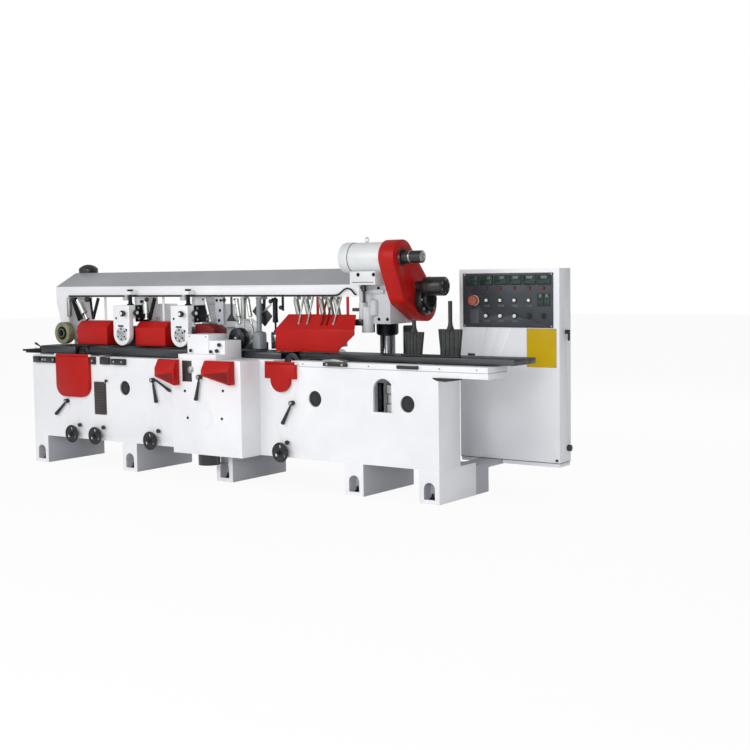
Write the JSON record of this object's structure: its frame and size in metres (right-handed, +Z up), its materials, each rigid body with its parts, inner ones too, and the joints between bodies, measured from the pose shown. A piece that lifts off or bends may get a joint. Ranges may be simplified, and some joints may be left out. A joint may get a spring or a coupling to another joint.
{
  "type": "four sided moulder",
  "caption": "Long floor-standing four sided moulder: hollow bed, lifting feed beam with rollers and top heads, bottom and side spindles, red guards and a control cabinet.",
  "frame": {"origin": "on the floor under the middle of the overall box", "axes": "+X along the bed to the infeed end, +Y from the front to the back, +Z up"},
  "size_m": [4.43, 1.14, 1.624],
  "materials": {
    "white_enamel": "semi-gloss machine enamel",
    "red_enamel": "semi-gloss machine enamel",
    "grey_enamel": "satin enamel on castings",
    "ground_iron": "ground, oiled",
    "hard_chrome": "polished",
    "spindle_steel": "turned",
    "cylinder_aluminium": "anodised",
    "black_enamel": "satin",
    "black_plastic": "moulded",
    "panel_enamel": "matt",
    "belt_rubber": "matt",
    "hose_plastic": "smooth",
    "soft_roller": "cast polyurethane",
    "red_plastic": "moulded",
    "white_plastic": "moulded"
  },
  "bodies": {
    "frame": {"bed_casting": "white_enamel", "bed_feet": "grey_enamel", "side_head_box": "white_enamel", "bed_table": "ground_iron", "fence_rail": "ground_iron", "lift_columns": "hard_chrome", "side_head_guards": "red_enamel", "cabinet_shell": "white_enamel", "cabinet_stand": "grey_enamel", "control_panel": "panel_enamel", "outfeed_bracket": "black_enamel", "right_unit": "grey_enamel"},
    "beam": {"beam_shell": "white_enamel", "feed_gearbox": "grey_enamel", "feed_motor": "white_enamel", "belt_guard": "red_enamel", "drive_belt": "belt_rubber", "air_line": "hose_plastic", "air_cylinders": "cylinder_aluminium", "infeed_hood": "red_enamel", "chip_hoods": "red_enamel", "lift_motor": "black_enamel"},
    "roller_arm_1": {"roller_arm_1": "grey_enamel"},
    "roller_arm_2": {"roller_arm_2": "grey_enamel"},
    "roller_arm_3": {"roller_arm_3": "grey_enamel"},
    "feed_roller_1": {"feed_roller_1": "soft_roller"},
    "feed_roller_2": {"feed_roller_2": "ground_iron"},
    "feed_roller_3": {"feed_roller_3": "ground_iron"},
    "feed_roller_4": {"feed_roller_4": "ground_iron"},
    "top_head_1": {"top_head_1": "white_enamel"},
    "top_head_2": {"top_head_2": "white_enamel"},
    "top_spindle_1": {"top_spindle_1": "spindle_steel"},
    "top_spindle_2": {"top_spindle_2": "spindle_steel"},
    "motor_pulley": {"motor_pulley": "black_enamel"},
    "driven_pulley": {"driven_pulley": "black_enamel"},
    "infeed_table": {"infeed_table": "ground_iron"},
    "side_guides": {"side_guides": "black_plastic"},
    "left_shield": {"left_shield": "red_enamel"},
    "right_shield": {"right_shield": "red_enamel"},
    "bottom_unit_1": {"bottom_unit_1": "grey_enamel"},
    "bottom_unit_2": {"bottom_unit_2": "grey_enamel"},
    "bottom_spindle_1": {"bottom_spindle_1": "spindle_steel"},
    "bottom_spindle_2": {"bottom_spindle_2": "spindle_steel"},
    "right_spindle": {"right_spindle": "spindle_steel"},
    "left_head": {"left_head": "white_enamel"},
    "left_spindle": {"left_spindle": "spindle_steel"},
    "handwheel_1": {"handwheel_1": "black_plastic"},
    "handwheel_2": {"handwheel_2": "black_plastic"},
    "handwheel_3": {"handwheel_3": "black_plastic"},
    "handwheel_4": {"handwheel_4": "black_plastic"},
    "clamp_lever_1": {"clamp_lever_1": "black_plastic"},
    "clamp_lever_2": {"clamp_lever_2": "black_plastic"},
    "clamp_lever_3": {"clamp_lever_3": "black_plastic"},
    "clamp_lever_4": {"clamp_lever_4": "black_plastic"},
    "cabinet_door": {"cabinet_door": "white_enamel"},
    "door_latch": {"door_latch": "black_plastic"},
    "emergency_stop": {"emergency_stop": "red_plastic"},
    "push_button_1": {"push_button_1": "white_plastic"},
    "push_button_2": {"push_button_2": "white_plastic"},
    "push_button_3": {"push_button_3": "white_plastic"}
  },
  "joints": [
    {"name": "beam_lift", "type": "slide", "parent": "frame", "child": "beam", "axis": [0, 0, 1], "range_m": [-0.005, 0.1]},
    {"name": "infeed_table_lift", "type": "slide", "parent": "frame", "child": "infeed_table", "axis": [0, 0, 1], "range_m": [-0.007, 0.003]},
    {"name": "side_guides_slide", "type": "slide", "parent": "infeed_table", "child": "side_guides", "axis": [0, 1, 0], "range_m": [0, 0.12]},
    {"name": "bottom_unit_1_lift", "type": "slide", "parent": "frame", "child": "bottom_unit_1", "axis": [0, 0, 1], "range_m": [-0.012, 0.002]},
    {"name": "bottom_unit_2_lift", "type": "slide", "parent": "frame", "child": "bottom_unit_2", "axis": [0, 0, 1], "range_m": [-0.012, 0.002]},
    {"name": "left_head_slide", "type": "slide", "parent": "frame", "child": "left_head", "axis": [0, 1, 0], "range_m": [0, 0.06]},
    {"name": "top_head_1_lift", "type": "slide", "parent": "beam", "child": "top_head_1", "axis": [0, 0, 1], "range_m": [0, 0.03]},
    {"name": "top_head_2_lift", "type": "slide", "parent": "beam", "child": "top_head_2", "axis": [0, 0, 1], "range_m": [0, 0.03]},
    {"name": "roller_arm_1_slide", "type": "slide", "parent": "beam", "child": "roller_arm_1", "axis": [0, 0, 1], "range_m": [0, 0.025]},
    {"name": "roller_arm_2_slide", "type": "slide", "parent": "beam", "child": "roller_arm_2", "axis": [0, 0, 1], "range_m": [0, 0.025]},
    {"name": "roller_arm_3_slide", "type": "slide", "parent": "beam", "child": "roller_arm_3", "axis": [-0.225, 0, 0.9744], "range_m": [0, 0.015]},
    {"name": "feed_roller_1_spin", "type": "hinge", "parent": "roller_arm_1", "child": "feed_roller_1", "pos_m": [-1.745, -0.1, 0.974], "axis": [0, 1, 0], "continuous": true},
    {"name": "feed_roller_2_spin", "type": "hinge", "parent": "roller_arm_2", "child": "feed_roller_2", "pos_m": [0.023, -0.1, 0.962], "axis": [0, 1, 0], "continuous": true},
    {"name": "feed_roller_3_spin", "type": "hinge", "parent": "roller_arm_3", "child": "feed_roller_3", "pos_m": [0.505, -0.1, 0.962], "axis": [0, 1, 0], "continuous": true},
    {"name": "feed_roller_4_spin", "type": "hinge", "parent": "roller_arm_3", "child": "feed_roller_4", "pos_m": [0.76, -0.1, 0.962], "axis": [0, 1, 0], "continuous": true},
    {"name": "top_spindle_1_spin", "type": "hinge", "parent": "top_head_1", "child": "top_spindle_1", "pos_m": [-0.477, -0.07, 0.978], "axis": [0, 1, 0], "continuous": true},
    {"name": "top_spindle_2_spin", "type": "hinge", "parent": "top_head_2", "child": "top_spindle_2", "pos_m": [-1.059, -0.07, 0.978], "axis": [0, 1, 0], "continuous": true},
    {"name": "bottom_spindle_1_spin", "type": "hinge", "parent": "bottom_unit_1", "child": "bottom_spindle_1", "pos_m": [0.54, 0.035, 0.819], "axis": [0, 1, 0], "continuous": true},
    {"name": "bottom_spindle_2_spin", "type": "hinge", "parent": "bottom_unit_2", "child": "bottom_spindle_2", "pos_m": [-1.46, 0.035, 0.819], "axis": [0, 1, 0], "continuous": true},
    {"name": "right_spindle_spin", "type": "hinge", "parent": "frame", "child": "right_spindle", "pos_m": [0.185, 0.084, 0.9], "axis": [0, 0, 1], "continuous": true},
    {"name": "left_spindle_spin", "type": "hinge", "parent": "left_head", "child": "left_spindle", "pos_m": [-0.135, -0.22, 0.9], "axis": [0, 0, 1], "continuous": true},
    {"name": "motor_pulley_spin", "type": "hinge", "parent": "beam", "child": "motor_pulley", "pos_m": [1.2835, -0.085, 1.49], "axis": [1, 0, 0], "continuous": true},
    {"name": "driven_pulley_spin", "type": "hinge", "parent": "beam", "child": "driven_pulley", "pos_m": [1.2835, 0.135, 1.222], "axis": [1, 0, 0], "continuous": true},
    {"name": "left_shield_hinge", "type": "hinge", "parent": "frame", "child": "left_shield", "pos_m": [-1.457, -0.336, 0.822], "axis": [-1, 0, 0], "range_deg": [0, 95]},
    {"name": "right_shield_hinge", "type": "hinge", "parent": "frame", "child": "right_shield", "pos_m": [0.5375, -0.336, 0.822], "axis": [-1, 0, 0], "range_deg": [0, 95]},
    {"name": "handwheel_1_turn", "type": "hinge", "parent": "frame", "child": "handwheel_1", "pos_m": [-1.46625, -0.32, 0.24], "axis": [0, 1, 0], "range_deg": [-866, 146]},
    {"name": "handwheel_2_turn", "type": "hinge", "parent": "frame", "child": "handwheel_2", "pos_m": [-1.21669, -0.32, 0.24], "axis": [0, 1, 0], "range_deg": [-182, 3602]},
    {"name": "handwheel_3_turn", "type": "hinge", "parent": "frame", "child": "handwheel_3", "pos_m": [-0.65151, -0.32, 0.24], "axis": [0, 1, 0], "range_deg": [-2, 4322]},
    {"name": "handwheel_4_turn", "type": "hinge", "parent": "frame", "child": "handwheel_4", "pos_m": [0.54, -0.32, 0.24], "axis": [0, 1, 0], "range_deg": [-866, 146]},
    {"name": "clamp_lever_1_turn", "type": "hinge", "parent": "frame", "child": "clamp_lever_1", "pos_m": [-1.53965, -0.32, 0.4796], "axis": [0, 1, 0], "range_deg": [-45, 0]},
    {"name": "clamp_lever_2_turn", "type": "hinge", "parent": "frame", "child": "clamp_lever_2", "pos_m": [-0.635, -0.32, 0.66704], "axis": [0, 1, 0], "range_deg": [-60, 40]},
    {"name": "clamp_lever_3_turn", "type": "hinge", "parent": "frame", "child": "clamp_lever_3", "pos_m": [-0.003, -0.51, 0.72512], "axis": [0, 1, 0], "range_deg": [-40, 40]},
    {"name": "clamp_lever_4_turn", "type": "hinge", "parent": "frame", "child": "clamp_lever_4", "pos_m": [0.62565, -0.32, 0.56408], "axis": [0, 1, 0], "range_deg": [-60, 20]},
    {"name": "cabinet_door_hinge", "type": "hinge", "parent": "frame", "child": "cabinet_door", "pos_m": [1.428, 0.56325, 0.8], "axis": [0, 0, 1], "range_deg": [0, 110]},
    {"name": "door_latch_turn", "type": "hinge", "parent": "frame", "child": "door_latch", "pos_m": [2.163, 0.506, 1.009], "axis": [1, 0, 0], "range_deg": [0, 90]},
    {"name": "emergency_stop_press", "type": "slide", "parent": "frame", "child": "emergency_stop", "axis": [0, 1, 0], "range_m": [0, 0.005], "stiffness_N_per_m": 1500, "springref_m": -0.002},
    {"name": "push_button_1_press", "type": "slide", "parent": "frame", "child": "push_button_1", "axis": [0, 1, 0], "range_m": [0, 0.003], "stiffness_N_per_m": 600, "springref_m": -0.001},
    {"name": "push_button_2_press", "type": "slide", "parent": "frame", "child": "push_button_2", "axis": [0, 1, 0], "range_m": [0, 0.003], "stiffness_N_per_m": 600, "springref_m": -0.001},
    {"name": "push_button_3_press", "type": "slide", "parent": "frame", "child": "push_button_3", "axis": [0, 1, 0], "range_m": [0, 0.003], "stiffness_N_per_m": 600, "springref_m": -0.001}
  ],
  "couplings": [
    {"joint": "motor_pulley_spin", "follows": "driven_pulley_spin", "ratio": 1.2571},
    {"joint": "feed_roller_1_spin", "follows": "driven_pulley_spin", "ratio": 0.05},
    {"joint": "feed_roller_2_spin", "follows": "driven_pulley_spin", "ratio": 0.05},
    {"joint": "feed_roller_3_spin", "follows": "driven_pulley_spin", "ratio": 0.05},
    {"joint": "feed_roller_4_spin", "follows": "driven_pulley_spin", "ratio": 0.05},
    {"joint": "handwheel_4_turn", "follows": "bottom_unit_1_lift", "rad_per_m": 1256.6},
    {"joint": "handwheel_1_turn", "follows": "bottom_unit_2_lift", "rad_per_m": 1256.6},
    {"joint": "handwheel_3_turn", "follows": "left_head_slide", "rad_per_m": 1256.6},
    {"joint": "handwheel_2_turn", "follows": "beam_lift", "rad_per_m": 628.32}
  ]
}
